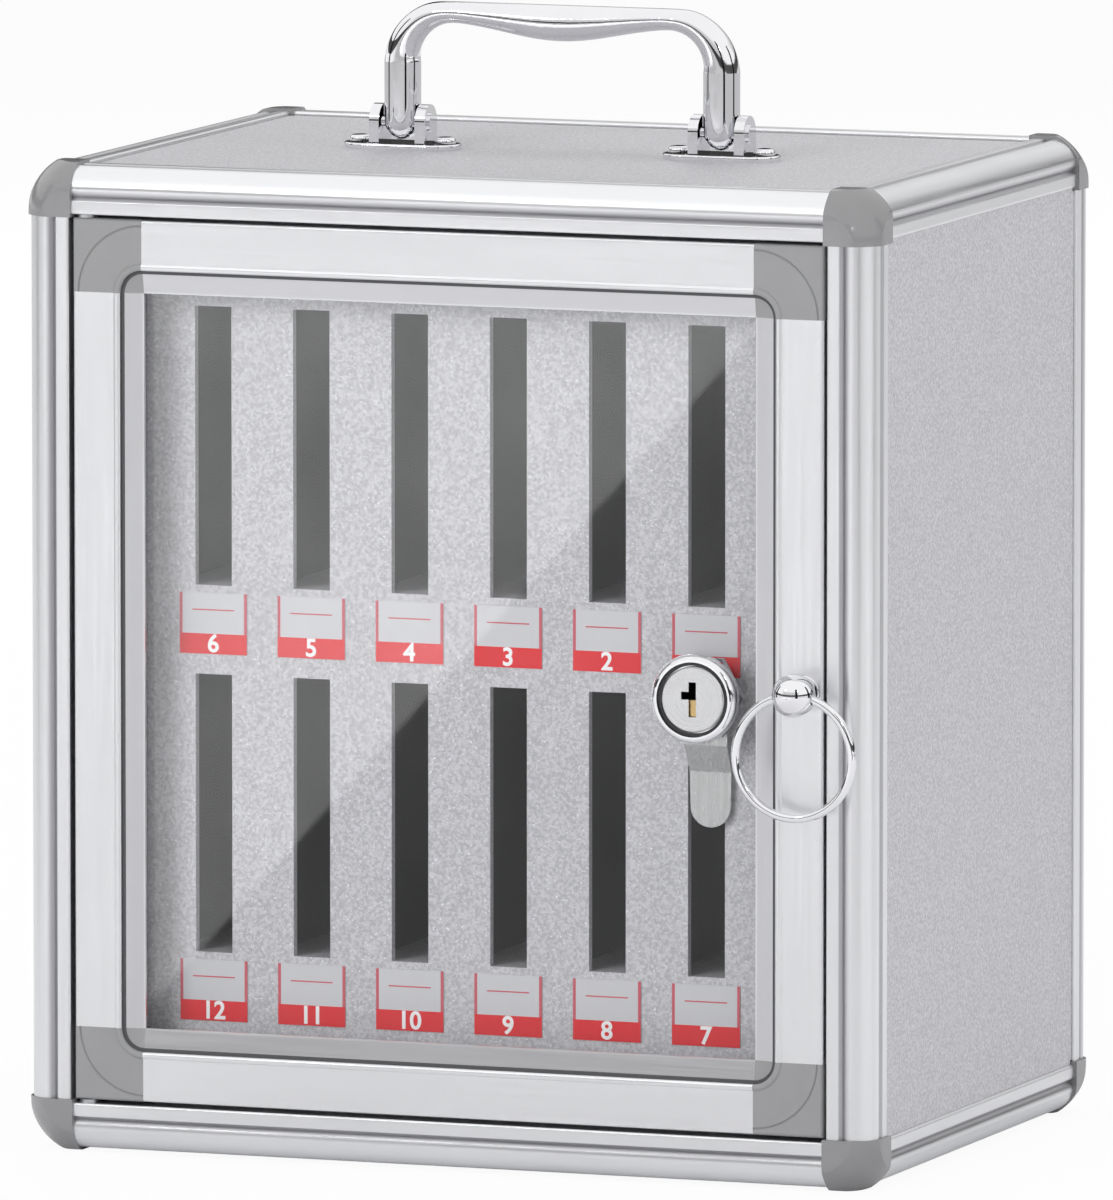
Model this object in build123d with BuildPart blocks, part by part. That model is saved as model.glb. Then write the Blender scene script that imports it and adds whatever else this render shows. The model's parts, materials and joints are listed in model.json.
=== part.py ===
"""A desk cabinet that locks away twelve mobile phones, each on edge in its own slot.

Aluminium edge profiles join in moulded corner caps and hold five boards. A framed door with a
clear pane is hinged on the left and locked by a cranked cam on the right. A handle folds on top.
"""

import os
from math import cos, radians, sin, sqrt

from build123d import *

os.makedirs("parts", exist_ok=True)

LOW = (Align.MIN, Align.MIN)
UPRIGHT = (Align.CENTER, Align.MIN)

# ------------------------------------------------------------ driving sizes, in millimetres
# Cabinet, over the flat faces of its edge profiles
WIDTH = 300.0
DEPTH = 220.0
HEIGHT = 330.0

# Edge profile: a square bar with one large round, a soft groove beside it and lips for the boards
PROFILE = 16.0
PROFILE_ROUND = 9.0
GROOVE = 2.6
GROOVE_SHOULDER = 3.6
LIP = 1.2
LIP_ROUND = 0.9
CHANNEL = 5.0
CORE_AT = 6.0
CORE_RADIUS = 3.6
LEG_WALL = 1.6

# Boards and the clearances that everything seats with
BOARD = 4.0
BOARD_GAP = 0.1
SEAT = 0.4
FIT = 0.05

# Corner caps
CAP = 17.0
CAP_PROUD = 1.0
SPIGOT = 10.0

# Door
DOOR_GAP = 1.2
DOOR_SETBACK = 1.0
DOOR_THICK = 13.0
DOOR_EDGE = 1.2
DOOR_WALL = 1.8
STILE_FLAT = 14.6
BEAD = 2.3
BEAD_RISE = 0.7
GLAZING = 1.2
GLAZING_DEPTH = 2.0
STRIP = 1.0
REBATE = 6.5
REBATE_NEAR = 1.2
REBATE_SLOPE = 1.2
REBATE_LIP = 1.3
PANE = 3.0
PANE_EDGE = 1.5
PANE_HOLD = 3.0
ARC_RADIUS = 22.5
ARC_LINE = 0.9
DOOR_SPIGOT = 14.0

# Hinge pins, measured from the door's own edge and face
HINGE_IN = 4.0
HINGE_BACK = 3.5
HINGE_RADIUS = 2.0
HINGE_COLLAR_RADIUS = 3.3
HINGE_IN_RAIL = 5.5
HINGE_IN_DOOR = 8.0

# Slot board and what is behind it
SLOT_BOARD_AT = 21.0
SLOT_BOARD = 3.0
SLOT_COLUMNS = 6
SLOT_PITCH = 35.0
SLOT_WIDTH = 13.0
SLOT_HEIGHT = 93.5
SLOT_SHIFT = -3.0
LOWER_SLOT_Z = 67.0
ROW_PITCH = 123.3
SHELF = 3.0
DIVIDER = 2.0
DIVIDER_GROOVE = 1.0
DIVIDER_OVER_SLOT = 6.0
LEDGE = 10.0
LEDGE_WALL = 1.5
LABEL_WIDTH = 24.0
LABEL_HEIGHT = 20.5
LABEL_THICK = 0.4
LABEL_BELOW_SLOT = 2.5

# Door stop angle behind the lock side, which the cam hooks behind
STOP_WALL = 1.5
STOP_REACH = 8.0
STOP_CLEAR = 0.3
CLEAT = 6.0

# Cam lock
LOCK_FROM_OPENING = 47.0
LOCK_Z = 162.0
BEZEL_RADIUS = 15.0
BEZEL_RIM = 12.5
BEZEL_RISE = 4.6
BEZEL_EDGE = 1.2
BEZEL_LAND = 0.6
RECESS = 2.0
TRIM_GAP = 0.3
TRIM_RISE = 0.8
PLUG_FACE_RADIUS = 11.0
PLUG_RADIUS = 6.5
PLUG_FACE_BACK = 0.3
PLUG_CHAMFER = 0.5
BARREL_RADIUS = 9.5
BARREL_LENGTH = 8.2
NUT_FLATS = 26.0
NUT_THICK = 3.0
KEYWAY_WIDTH = 2.6
KEYWAY_HEIGHT = 11.6
KEYWAY_DEPTH = 8.0
CAM_SQUARE = 7.0
CAM_PLAY = 0.2
CAM_THICK = 1.6
CAM_WIDTH = 16.0
CAM_TIP_WIDTH = 14.0
CAM_LENGTH = 44.5
CAM_STRAIGHT = 16.6
CAM_CRANK = 9.4
CAM_SET = 4.8
CAM_SCREW_RADIUS = 2.5
CAM_SCREW_LENGTH = 5.0
CAM_SCREW_FLATS = 8.0
CAM_WASHER_RADIUS = 6.0
CAM_WASHER = 0.8
CAM_SCREW_HEAD = 2.6

# Ring pull
PULL_FROM_EDGE = 7.0
PULL_Z = 166.0
KNOB_RADIUS = 7.25
KNOB_OUT = 9.5
KNOB_NECK_RADIUS = 3.6
KNOB_FOOT_RADIUS = 5.8
KNOB_FOOT = 1.0
RING_RADIUS = 20.3
RING_WIRE = 1.5
RING_CLEAR = 0.3
PULL_SCREW_RADIUS = 2.0
PULL_SCREW_HEAD_RADIUS = 3.8
PULL_SCREW_IN_KNOB = 3.0

# Carry handle
HANDLE_SPAN = 114.0
HANDLE_RISE = 50.0
HANDLE_BEND = 17.0
LEG_RADIUS = 6.15
GRIP_END_HALF_HEIGHT = 3.7
GRIP_END_HALF_THICK = 5.4
GRIP_HALF_HEIGHT = 6.1
GRIP_HALF_THICK = 6.4
PIVOT_RISE = 9.0
PIN_RADIUS = 2.0
PIN_HEAD_RADIUS = 3.2
PIN_HEAD = 0.8
EAR = 3.5
EAR_HALF_WIDTH = 6.0
EAR_GAP = 0.3
BASE_LENGTH = 41.0
BASE_WIDTH = 18.0
BASE_THICK = 2.0
BASE_EDGE = 0.7
SCREW_SPACING = 30.4
SCREW_RADIUS = 2.0
SCREW_HEAD_RADIUS = 3.7
SCREW_HEAD = 2.2
SCREW_ROUND = 1.5
SCREW_RECESS_DEPTH = 1.1
SCREW_RECESS = 1.9
SCREW_RECESS_WIDTH = 0.9
SCREW_NUT_FLATS = 7.0
SCREW_NUT = 3.2

# ------------------------------------------------------------ places that follow from the sizes
KNOB_FRONT = KNOB_OUT + KNOB_RADIUS - DOOR_SETBACK
FRONT_Y = (KNOB_FRONT - DEPTH - CAP_PROUD) / 2
CENTRE = Vector(0, FRONT_Y + DEPTH / 2, CAP_PROUD + HEIGHT / 2)
BOTTOM_Z = CAP_PROUD
TOP_Z = BOTTOM_Z + HEIGHT

SLOT_FOR_BOARD = BOARD + 2 * BOARD_GAP
CHANNEL_START = PROFILE - CHANNEL
INNER_LIP = LIP + SLOT_FOR_BOARD
INNER_CLEAR = INNER_LIP + LIP
BOARD_INNER = LIP + BOARD_GAP + BOARD
BOARD_EDGE = CHANNEL_START + SEAT
PANEL_TOP_Z = TOP_Z - LIP - BOARD_GAP

OPENING_X = WIDTH / 2 - PROFILE
DOOR_X = OPENING_X - DOOR_GAP
DOOR_LOW = BOTTOM_Z + PROFILE + DOOR_GAP
DOOR_HIGH = TOP_Z - PROFILE - DOOR_GAP
DOOR_MIDDLE = Vector(0, FRONT_Y + DOOR_SETBACK, (DOOR_LOW + DOOR_HIGH) / 2)
BEAD_END = STILE_FLAT + BEAD
GLAZING_END = BEAD_END + GLAZING
DOOR_BAR = GLAZING_END + REBATE
PANE_FRONT = REBATE_NEAR + REBATE_SLOPE + REBATE_LIP
PANE_BACK = PANE_FRONT + PANE + BOARD_GAP
CHANNEL_AT = GLAZING_END + PANE_EDGE

BAY_FRONT = SLOT_BOARD_AT + SLOT_BOARD
BAY_END = DEPTH - PROFILE - SEAT
FLOORS = (LOWER_SLOT_Z, LOWER_SLOT_Z + ROW_PITCH)
COLUMNS = [SLOT_SHIFT + (i - (SLOT_COLUMNS - 1) / 2) * SLOT_PITCH for i in range(SLOT_COLUMNS)]
DIVIDERS = [SLOT_SHIFT + (i - SLOT_COLUMNS / 2) * SLOT_PITCH for i in range(SLOT_COLUMNS + 1)]

LOCK_X = OPENING_X - LOCK_FROM_OPENING
LOCK_AT = DOOR_SETBACK + PANE_FRONT
PULL_X = DOOR_X - PULL_FROM_EDGE
HINGE_X = HINGE_IN - DOOR_X
HINGE_Y = FRONT_Y + DOOR_SETBACK + HINGE_BACK
HANDLE_X = HANDLE_SPAN / 2
HANDLE_Y = FRONT_Y + DEPTH / 2
PIVOT_Z = PANEL_TOP_Z + PIVOT_RISE


def facing(depth):
    """A plane that faces the viewer, that far behind the cabinet's front, with x and z as on it."""
    return Plane(origin=(0, FRONT_Y + depth, 0), x_dir=(1, 0, 0), z_dir=(0, -1, 0))


def turning(x, depth, z):
    """A plane through a front-to-back axis, for turned profiles given as (radius, depth)."""
    return Plane(origin=(x, FRONT_Y + depth, z), x_dir=(1, 0, 0), z_dir=(0, 0, 1))


def front_axis(x, z):
    """The front-to-back axis at x, z."""
    return Axis((x, 0, z), (0, 1, 0))


def keep(builder, name):
    """Label a finished piece and write it."""
    builder.part.label = name
    export_step(builder.part, f"parts/{name}.step")


# ------------------------------------------------------------ edge profiles
def corners_at(section, points):
    """The corners of a section that lie at some points."""
    return [section.vertices().sort_by_distance(point)[0] for point in points]


def edge_profile(name, face_in, side_in, door_side=False, hinged=False):
    """One length of the extrusion. The two directions point inwards along the faces it joins."""
    run = face_in.cross(side_in)
    inward = face_in + side_in + run
    reach = Vector(inward.X * WIDTH / 2, inward.Y * DEPTH / 2, inward.Z * HEIGHT / 2)
    length = abs(run.X) * WIDTH + abs(run.Y) * DEPTH + abs(run.Z) * HEIGHT - 2 * CAP
    start = CENTRE - reach + run * CAP
    with BuildPart() as bar:
        with BuildSketch(Plane(origin=start, x_dir=face_in, z_dir=run)) as section:
            Rectangle(PROFILE, PROFILE, align=LOW)
            fillet(corners_at(section, [(0, 0)]), PROFILE_ROUND)
            groove_at = PROFILE_ROUND + GROOVE / 2
            groove_wall = GROOVE / sqrt(2)
            with Locations((groove_at, 0), (0, groove_at)):
                Rectangle(groove_wall, groove_wall, rotation=45, mode=Mode.SUBTRACT)
            shoulders = [(PROFILE_ROUND, 0), (0, PROFILE_ROUND)]
            fillet(corners_at(section, shoulders), min(GROOVE_SHOULDER, 2 * groove_wall))
            groove_end = PROFILE_ROUND + GROOVE
            lips = [(groove_end, 0), (0, groove_end), (PROFILE, 0), (0, PROFILE)]
            fillet(corners_at(section, lips), LIP_ROUND)
            with Locations((CORE_AT, CORE_AT)):
                Circle(CORE_RADIUS, mode=Mode.SUBTRACT)
            with Locations((LIP, CHANNEL_START)):
                Rectangle(SLOT_FOR_BOARD, CHANNEL, align=LOW, mode=Mode.SUBTRACT)
            if door_side:
                hollow = PROFILE - LEG_WALL - CHANNEL_START
                with Locations((CHANNEL_START, LEG_WALL)):
                    Rectangle(hollow, PROFILE - 2 * LEG_WALL, align=LOW, mode=Mode.SUBTRACT)
            else:
                with Locations((CHANNEL_START, LIP)):
                    Rectangle(CHANNEL, SLOT_FOR_BOARD, align=LOW, mode=Mode.SUBTRACT)
                with Locations((INNER_CLEAR, CHANNEL_START), (CHANNEL_START, INNER_CLEAR)):
                    Rectangle(PROFILE, PROFILE, align=LOW, mode=Mode.SUBTRACT)
        extrude(amount=length)
        if hinged:
            with Locations((HINGE_X, HINGE_Y, CENTRE.Z - face_in.Z * (HEIGHT / 2 - PROFILE))):
                Cylinder(HINGE_RADIUS, 2 * HINGE_IN_RAIL, mode=Mode.SUBTRACT)
    keep(bar, name)


LEFT_IN = Vector(1, 0, 0)
RIGHT_IN = Vector(-1, 0, 0)
FRONT_IN = Vector(0, 1, 0)
REAR_IN = Vector(0, -1, 0)
UP_IN = Vector(0, 0, 1)
DOWN_IN = Vector(0, 0, -1)

edge_profile("post_front_left", LEFT_IN, FRONT_IN, door_side=True)
edge_profile("post_front_right", RIGHT_IN, FRONT_IN, door_side=True)
edge_profile("post_rear_left", LEFT_IN, REAR_IN)
edge_profile("post_rear_right", RIGHT_IN, REAR_IN)
edge_profile("rail_top_front", DOWN_IN, FRONT_IN, door_side=True, hinged=True)
edge_profile("rail_bottom_front", UP_IN, FRONT_IN, door_side=True, hinged=True)
edge_profile("rail_top_rear", DOWN_IN, REAR_IN)
edge_profile("rail_bottom_rear", UP_IN, REAR_IN)
edge_profile("rail_top_left", LEFT_IN, DOWN_IN)
edge_profile("rail_top_right", RIGHT_IN, DOWN_IN)
edge_profile("rail_bottom_left", LEFT_IN, UP_IN)
edge_profile("rail_bottom_right", RIGHT_IN, UP_IN)


# ------------------------------------------------------------ corner caps
def corner_cap(name, inward):
    """A ball corner that stands a little proud of the profiles and plugs into three of them."""
    half = Vector(inward.X * WIDTH / 2, inward.Y * DEPTH / 2, inward.Z * HEIGHT / 2)
    corner = CENTRE - half
    tip = corner - inward * CAP_PROUD
    inner = corner + inward * CAP
    ball = (CAP - PROFILE_ROUND) * sqrt(2) + PROFILE_ROUND + SEAT
    with BuildPart() as cap:
        with Locations((tip + inner) * 0.5):
            Box(CAP + CAP_PROUD, CAP + CAP_PROUD, CAP + CAP_PROUD)
        fillet(cap.edges().sort_by_distance(tip)[:3], PROFILE_ROUND + CAP_PROUD)
        with Locations(inner):
            Sphere(ball, mode=Mode.INTERSECT)
        for turn, along in (
            ((0, 90, 0), Vector(inward.X, 0, 0)),
            ((90, 0, 0), Vector(0, inward.Y, 0)),
            ((0, 0, 0), Vector(0, 0, inward.Z)),
        ):
            core = corner + (inward - along) * CORE_AT + along * CAP
            with Locations(core + along * (SPIGOT / 2 - CAP_PROUD / 2)):
                Cylinder(CORE_RADIUS - FIT, SPIGOT + CAP_PROUD, rotation=turn)
    keep(cap, name)


for level, rise in (("top", DOWN_IN), ("bottom", UP_IN)):
    for end, away in (("front", FRONT_IN), ("rear", REAR_IN)):
        for side, across in (("left", LEFT_IN), ("right", RIGHT_IN)):
            corner_cap(f"corner_{level}_{end}_{side}", rise + away + across)


# ------------------------------------------------------------ boards
def board(name, inward, across, holes=()):
    """One outer board, let into the channels, with its corners cut back for the caps."""
    upward = inward.cross(across)
    size = Vector(WIDTH, DEPTH, HEIGHT)
    length = abs(across.X * size.X + across.Y * size.Y + across.Z * size.Z) - 2 * BOARD_EDGE
    breadth = abs(upward.X * size.X + upward.Y * size.Y + upward.Z * size.Z) - 2 * BOARD_EDGE
    reach = Vector(inward.X * WIDTH / 2, inward.Y * DEPTH / 2, inward.Z * HEIGHT / 2)
    face = CENTRE - reach + inward * (LIP + BOARD_GAP)
    notch = CAP + SEAT - BOARD_EDGE
    with BuildPart() as panel:
        with BuildSketch(Plane(origin=face, x_dir=across, z_dir=inward)):
            Rectangle(length, breadth)
            with GridLocations(length - notch, breadth - notch, 2, 2):
                Rectangle(notch, notch, mode=Mode.SUBTRACT)
            if holes:
                with Locations(*holes):
                    Circle(SCREW_RADIUS + FIT, mode=Mode.SUBTRACT)
        extrude(amount=BOARD)
    keep(panel, name)


HANDLE_SCREWS = [
    (side * HANDLE_X + end * SCREW_SPACING / 2, 0) for side in (-1, 1) for end in (-1, 1)
]
board("panel_top", DOWN_IN, LEFT_IN, HANDLE_SCREWS)
board("panel_bottom", UP_IN, LEFT_IN)
board("panel_left", LEFT_IN, FRONT_IN)
board("panel_right", RIGHT_IN, FRONT_IN)
board("panel_back", REAR_IN, LEFT_IN)

# ------------------------------------------------------------ slot board, shelves and dividers
BOARD_INSET = INNER_CLEAR + SEAT
BOARD_WIDE = WIDTH - 2 * BOARD_INSET
BOARD_TALL = HEIGHT - 2 * BOARD_INSET
BOARD_NOTCH = CHANNEL_START + SEAT - BOARD_INSET

with BuildPart() as slot_board:
    with BuildSketch(facing(SLOT_BOARD_AT)):
        with Locations((0, CENTRE.Z)):
            Rectangle(BOARD_WIDE, BOARD_TALL)
            with GridLocations(BOARD_WIDE - BOARD_NOTCH, BOARD_TALL - BOARD_NOTCH, 2, 2):
                Rectangle(BOARD_NOTCH, BOARD_NOTCH, mode=Mode.SUBTRACT)
        with Locations(*[(x, floor) for x in COLUMNS for floor in FLOORS]):
            Rectangle(SLOT_WIDTH, SLOT_HEIGHT, align=UPRIGHT, mode=Mode.SUBTRACT)
    extrude(amount=-SLOT_BOARD)
keep(slot_board, "slot_board")


def shelf(name, floor):
    """A floor under one row of phones, grooved for the dividers that stand in it."""
    deep = BAY_END - BAY_FRONT
    middle = FRONT_Y + (BAY_FRONT + BAY_END) / 2
    with BuildPart() as tray:
        with BuildSketch(Plane.XY.offset(floor - SHELF)):
            with Locations((0, middle)):
                Rectangle(WIDTH - 2 * (BOARD_INNER + BOARD_GAP), deep)
        extrude(amount=SHELF)
        with BuildSketch(Plane.XY.offset(floor - DIVIDER_GROOVE)):
            with Locations(*[(x, middle) for x in DIVIDERS]):
                Rectangle(DIVIDER + 2 * FIT, deep)
        extrude(amount=DIVIDER_GROOVE, mode=Mode.SUBTRACT)
    keep(tray, name)


def divider_row(name, floor):
    """The upright boards between the phones of one row."""
    with BuildPart() as row:
        with BuildSketch(Plane.XY.offset(floor - DIVIDER_GROOVE)):
            with Locations(*[(x, FRONT_Y + (BAY_FRONT + BAY_END) / 2) for x in DIVIDERS]):
                Rectangle(DIVIDER, BAY_END - BAY_FRONT)
        extrude(amount=DIVIDER_GROOVE + SLOT_HEIGHT + DIVIDER_OVER_SLOT)
    keep(row, name)


for level, floor in zip(("lower", "upper"), FLOORS):
    shelf(f"{level}_shelf", floor)
    divider_row(f"{level}_dividers", floor)

with BuildPart() as shelf_ledges:
    for floor in FLOORS:
        for side in (-1, 1):
            wall_x = side * (WIDTH / 2 - BOARD_INNER)
            with BuildSketch(facing(BAY_FRONT + LEDGE)):
                with BuildLine():
                    Polyline(
                        (wall_x, floor - SHELF),
                        (wall_x - side * LEDGE, floor - SHELF),
                        (wall_x - side * LEDGE, floor - SHELF - LEDGE_WALL),
                        (wall_x - side * LEDGE_WALL, floor - SHELF - LEDGE_WALL),
                        (wall_x - side * LEDGE_WALL, floor - SHELF - LEDGE),
                        (wall_x, floor - SHELF - LEDGE),
                        close=True,
                    )
                make_face()
            extrude(amount=BAY_FRONT + 2 * LEDGE - BAY_END)
keep(shelf_ledges, "shelf_ledges")

with BuildPart() as board_cleats:
    with BuildSketch(facing(PROFILE)):
        with Locations(*[(side * (WIDTH / 2 - BOARD_INSET - CLEAT / 2), CENTRE.Z) for side in (-1, 1)]):
            Rectangle(CLEAT, HEIGHT - 2 * (CAP + SEAT))
    extrude(amount=PROFILE - SLOT_BOARD_AT)
keep(board_cleats, "board_cleats")

with BuildPart() as slot_labels:
    with BuildSketch(facing(SLOT_BOARD_AT)):
        with Locations(*[(x, floor - LABEL_BELOW_SLOT - LABEL_HEIGHT) for x in COLUMNS for floor in FLOORS]):
            Rectangle(LABEL_WIDTH, LABEL_HEIGHT, align=UPRIGHT)
    extrude(amount=LABEL_THICK)
keep(slot_labels, "slot_labels")

# An angle on the back of the lock-side post: its lip stops the door, its web holds the cam.
STOP_X = OPENING_X - STOP_REACH
with BuildPart() as door_stop:
    with BuildSketch(Plane.XY.offset(BOTTOM_Z + CAP + SEAT)):
        with Locations((STOP_X, FRONT_Y + PROFILE)):
            Rectangle(WIDTH / 2 - BOARD_INSET - CLEAT - SEAT - STOP_X, STOP_WALL, align=LOW)
        with Locations((STOP_X, FRONT_Y + DOOR_SETBACK + DOOR_THICK + STOP_CLEAR)):
            Rectangle(STOP_WALL, PROFILE - DOOR_SETBACK - DOOR_THICK - STOP_CLEAR, align=LOW)
    extrude(amount=HEIGHT - 2 * (CAP + SEAT))
keep(door_stop, "door_stop")

# ------------------------------------------------------------ hinge pins
# Each pin is fast in its rail and turns in the door, and its collar takes the door's weight.
with BuildPart() as hinge_pins:
    for rail_face, to_door in ((BOTTOM_Z + PROFILE, 1), (TOP_Z - PROFILE, -1)):
        with BuildSketch(Plane.XY.offset(rail_face - to_door * HINGE_IN_RAIL)):
            with Locations((HINGE_X, HINGE_Y)):
                Circle(HINGE_RADIUS)
        extrude(amount=to_door * (HINGE_IN_RAIL + DOOR_GAP + HINGE_IN_DOOR))
        with BuildSketch(Plane.XY.offset(rail_face)):
            with Locations((HINGE_X, HINGE_Y)):
                Circle(HINGE_COLLAR_RADIUS)
        extrude(amount=to_door * (DOOR_GAP - BOARD_GAP))
keep(hinge_pins, "hinge_pins")


# ------------------------------------------------------------ door frame
def door_bar(name, inward, pull_hole=False):
    """One side of the door frame, cut between its corner connectors."""
    run = inward.cross(FRONT_IN)
    half = Vector(DOOR_X, 0, (DOOR_HIGH - DOOR_LOW) / 2)
    reach = Vector((inward.X + run.X) * half.X, 0, (inward.Z + run.Z) * half.Z)
    length = 2 * (abs(run.X) * half.X + abs(run.Z) * half.Z) - 2 * DOOR_BAR
    start = DOOR_MIDDLE - reach + run * DOOR_BAR
    with BuildPart() as bar:
        with BuildSketch(Plane(origin=start, x_dir=inward, z_dir=run)) as section:
            with BuildLine():
                Polyline(
                    (BEAD_END, 0),
                    (BEAD_END, GLAZING_DEPTH),
                    (GLAZING_END, GLAZING_DEPTH),
                    (GLAZING_END, REBATE_NEAR),
                    (DOOR_BAR, REBATE_NEAR + REBATE_SLOPE),
                    (DOOR_BAR, PANE_FRONT),
                    (CHANNEL_AT, PANE_FRONT),
                    (CHANNEL_AT, PANE_BACK),
                    (CHANNEL_AT + PANE_HOLD, PANE_BACK),
                    (CHANNEL_AT + PANE_HOLD, PANE_BACK + REBATE_LIP),
                    (GLAZING_END, PANE_BACK + REBATE_LIP),
                    (GLAZING_END, DOOR_THICK),
                    (0, DOOR_THICK),
                    (0, 0),
                    (STILE_FLAT, 0),
                )
                ThreePointArc((STILE_FLAT, 0), (STILE_FLAT + BEAD / 2, -BEAD_RISE), (BEAD_END, 0))
            make_face()
            fillet(corners_at(section, [(0, 0)]), DOOR_EDGE)
            with Locations((DOOR_WALL, DOOR_WALL)):
                Rectangle(STILE_FLAT, DOOR_THICK - 2 * DOOR_WALL, align=LOW, mode=Mode.SUBTRACT)
        extrude(amount=length)
        if pull_hole:
            back = FRONT_Y + DOOR_SETBACK + DOOR_THICK
            with Locations(Plane(origin=(PULL_X, back, PULL_Z), z_dir=(0, 1, 0))):
                CounterSinkHole(
                    PULL_SCREW_RADIUS + FIT,
                    PULL_SCREW_HEAD_RADIUS + FIT,
                    DOOR_THICK,
                    counter_sink_angle=90,
                )
    keep(bar, name)


door_bar("door_stile_hinge", LEFT_IN)
door_bar("door_stile_lock", RIGHT_IN, pull_hole=True)
door_bar("door_rail_top", DOWN_IN)
door_bar("door_rail_bottom", UP_IN)


def door_corner(name, side, rise, hinged=False):
    """A moulded square connector that carries the bead and groove round the window's corner."""
    level = DOOR_MIDDLE.Z + rise * ((DOOR_HIGH - DOOR_LOW) / 2 - DOOR_BAR)
    window = Vector(side * (DOOR_X - DOOR_BAR), FRONT_Y + DOOR_SETBACK, level)
    out = Vector(side, 0, 0) if side == rise else Vector(0, 0, rise)
    viewer = Vector(0, -1, 0)
    front = Plane(origin=window, x_dir=out, z_dir=viewer)
    radial = Plane(origin=window, x_dir=out, z_dir=out.cross(viewer))
    spin = Axis(window, viewer)
    bead_inner = DOOR_BAR - BEAD_END
    bead_outer = DOOR_BAR - STILE_FLAT
    bead_middle = (bead_inner + bead_outer) / 2
    with BuildPart() as block:
        with BuildSketch(front):
            Rectangle(DOOR_BAR, DOOR_BAR, align=LOW)
        extrude(amount=-DOOR_THICK)
        tip = window + (front.x_dir + front.y_dir) * DOOR_BAR
        fillet(block.faces().sort_by(Axis.Y)[0].edges().sort_by_distance(tip)[:2], DOOR_EDGE)
        with BuildSketch(radial):
            with BuildLine():
                Polyline(
                    (bead_inner, 0),
                    (bead_inner, -BEAD_RISE),
                    (bead_outer, -BEAD_RISE),
                    (bead_outer, 0),
                )
                ThreePointArc((bead_outer, 0), (bead_middle, BEAD_RISE), (bead_inner, 0))
            make_face()
        revolve(axis=spin, revolution_arc=90)
        with BuildSketch(radial):
            with BuildLine():
                Polyline(
                    (0, BEAD_RISE),
                    (bead_inner, BEAD_RISE),
                    (bead_inner, -GLAZING_DEPTH),
                    (DOOR_BAR - GLAZING_END, -GLAZING_DEPTH),
                    (DOOR_BAR - GLAZING_END, -REBATE_NEAR),
                    (0, -REBATE_NEAR - REBATE_SLOPE),
                    close=True,
                )
            make_face()
            with Locations((ARC_RADIUS, 0)):
                Rectangle(ARC_LINE / sqrt(2), ARC_LINE / sqrt(2), rotation=45)
        revolve(axis=spin, revolution_arc=90, mode=Mode.SUBTRACT)
        with BuildSketch(front.offset(-PANE_FRONT)):
            Rectangle(DOOR_BAR - CHANNEL_AT, DOOR_BAR - CHANNEL_AT, align=LOW)
        extrude(amount=PANE_FRONT - PANE_BACK, mode=Mode.SUBTRACT)
        with BuildSketch(front.offset(-PANE_BACK - REBATE_LIP)):
            Rectangle(DOOR_BAR - GLAZING_END, DOOR_BAR - GLAZING_END, align=LOW)
        extrude(amount=PANE_BACK + REBATE_LIP - DOOR_THICK, mode=Mode.SUBTRACT)
        near = DOOR_BAR - DOOR_WALL - STILE_FLAT + FIT
        far = STILE_FLAT - 2 * FIT
        with BuildSketch(front.offset(-DOOR_WALL - FIT)):
            with Locations((near, -DOOR_SPIGOT)):
                Rectangle(far, DOOR_SPIGOT + DOOR_WALL, align=LOW)
            with Locations((-DOOR_SPIGOT, near)):
                Rectangle(DOOR_SPIGOT + DOOR_WALL, far, align=LOW)
        extrude(amount=2 * (DOOR_WALL + FIT) - DOOR_THICK)
        if hinged:
            with Locations((HINGE_X, HINGE_Y, level + rise * DOOR_BAR)):
                Cylinder(HINGE_RADIUS + FIT, 2 * (HINGE_IN_DOOR + SEAT), mode=Mode.SUBTRACT)
    keep(block, name)


door_corner("door_corner_top_left", -1, 1, hinged=True)
door_corner("door_corner_top_right", 1, 1)
door_corner("door_corner_bottom_left", -1, -1, hinged=True)
door_corner("door_corner_bottom_right", 1, -1)

with BuildPart() as door_pane:
    with BuildSketch(facing(DOOR_SETBACK + PANE_FRONT + BOARD_GAP / 2)):
        with Locations((0, DOOR_MIDDLE.Z)):
            Rectangle(
                2 * (DOOR_X - CHANNEL_AT - SEAT),
                DOOR_HIGH - DOOR_LOW - 2 * (CHANNEL_AT + SEAT),
            )
        with Locations((LOCK_X, LOCK_Z)):
            Circle(BARREL_RADIUS + FIT, mode=Mode.SUBTRACT)
    extrude(amount=-PANE)
keep(door_pane, "door_pane")

with BuildPart() as glazing_strip:
    with BuildSketch(facing(DOOR_SETBACK + GLAZING_DEPTH)):
        with Locations((0, DOOR_MIDDLE.Z)):
            RectangleRounded(
                2 * (DOOR_X - BEAD_END - FIT),
                DOOR_HIGH - DOOR_LOW - 2 * (BEAD_END + FIT),
                DOOR_BAR - BEAD_END - FIT,
            )
            RectangleRounded(
                2 * (DOOR_X - GLAZING_END + FIT),
                DOOR_HIGH - DOOR_LOW - 2 * (GLAZING_END - FIT),
                DOOR_BAR - GLAZING_END + FIT,
                mode=Mode.SUBTRACT,
            )
    extrude(amount=STRIP)
keep(glazing_strip, "glazing_strip")

# ------------------------------------------------------------ cam lock
LOCK_AXIS = front_axis(LOCK_X, LOCK_Z)
RECESS_FLOOR = RECESS - BEZEL_RISE
CAM_AT = BARREL_LENGTH + CAM_PLAY
TAIL_END = CAM_AT + CAM_THICK

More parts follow.
